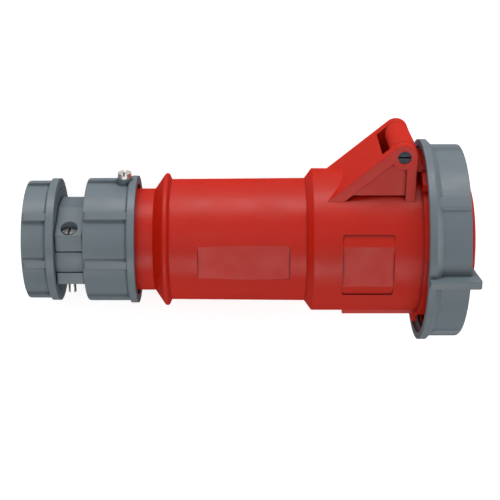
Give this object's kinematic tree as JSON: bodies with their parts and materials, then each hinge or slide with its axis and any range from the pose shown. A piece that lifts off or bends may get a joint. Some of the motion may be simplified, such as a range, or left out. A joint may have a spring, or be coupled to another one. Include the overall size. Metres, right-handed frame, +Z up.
{
  "type": "industrial cable coupler",
  "caption": "heavy-duty cable connector socket with a red handle and housing, sprung hinged lid, grey locking ring and ribbed cable gland nuts",
  "frame": {"origin": "centre of the cable mouth, on the coupler's axis", "axes": "+X runs along the coupler from the cable mouth to the lid; +Z is up as it lies on the table; +Y completes the frame, and the lid's hinge lies to that side"},
  "size_m": [0.2785, 0.141, 0.1278],
  "materials": {
    "shell_grey": "satin moulded",
    "shell_red": "satin moulded",
    "insert_grey": "matt moulded",
    "seal_rubber": "matt",
    "bright_steel": "nickel plated",
    "blued_steel": "blued",
    "contact_brass": "machined"
  },
  "bodies": {
    "housing": {"handle_sleeve": "shell_red", "front_housing": "shell_red", "housing_seal": "seal_rubber", "contact_carrier": "insert_grey", "carrier_back": "insert_grey", "contact_n": "contact_brass", "contact_l1": "contact_brass", "contact_earth": "contact_brass", "contact_l2": "contact_brass", "contact_l3": "contact_brass", "contact_pilot": "contact_brass", "terminal_screws": "bright_steel", "carrier_screws": "bright_steel", "hinge_pin": "blued_steel", "lid_spring": "bright_steel", "cable_grommet": "seal_rubber"},
    "lid_body": {"lid": "shell_red", "lid_gasket": "seal_rubber"},
    "ring_body": {"locking_ring": "shell_grey"},
    "carrier_body": {"clamp_carrier": "shell_grey", "end_seal": "seal_rubber"},
    "gland_nut_body": {"gland_nut": "shell_grey", "nut_lock_screw": "bright_steel"},
    "end_washer_body": {"end_washer": "bright_steel"},
    "end_nut_body": {"end_nut": "shell_grey"},
    "upper_clamp_body": {"upper_clamp": "shell_grey", "clamp_screws": "bright_steel"},
    "lower_clamp_body": {"lower_clamp": "shell_grey", "clamp_nuts": "bright_steel"}
  },
  "joints": [
    {"name": "lid_hinge", "type": "hinge", "parent": "housing", "child": "lid_body", "pos_m": [0.2333, 0.05938, 0.02545], "axis": [0, -0.3939, 0.9191], "range_deg": [0, 105], "stiffness_Nm_per_rad": 0.15, "springref_deg": -114.59, "deforming": ["lid_spring"]},
    {"name": "ring_turn", "type": "hinge", "parent": "lid_body", "child": "ring_body", "pos_m": [0.26, 0, 0], "axis": [-1, 0, 0], "range_deg": [0, 49]},
    {"name": "gland_travel", "type": "slide", "parent": "housing", "child": "carrier_body", "axis": [-1, 0, 0], "range_m": [0, 0.006]},
    {"name": "gland_turn", "type": "hinge", "parent": "carrier_body", "child": "gland_nut_body", "pos_m": [0.05, 0, 0], "axis": [-1, 0, 0], "range_deg": [0, 720]},
    {"name": "end_travel", "type": "slide", "parent": "carrier_body", "child": "end_washer_body", "axis": [-1, 0, 0], "range_m": [0, 0.004]},
    {"name": "end_turn", "type": "hinge", "parent": "end_washer_body", "child": "end_nut_body", "pos_m": [0.01, 0, 0], "axis": [-1, 0, 0], "range_deg": [0, 480]},
    {"name": "clamp_open", "type": "slide", "parent": "carrier_body", "child": "upper_clamp_body", "axis": [0, 0.9191, 0.3939], "range_m": [0, 0.003]},
    {"name": "clamp_drop", "type": "slide", "parent": "carrier_body", "child": "lower_clamp_body", "axis": [0, -0.9191, -0.3939], "range_m": [0, 0.003]}
  ],
  "couplings": [
    {"joint": "gland_travel", "follows": "gland_turn", "m_per_rad": 0.00047746},
    {"joint": "end_travel", "follows": "end_turn", "m_per_rad": 0.00047746},
    {"joint": "clamp_drop", "follows": "clamp_open", "ratio": 1}
  ]
}
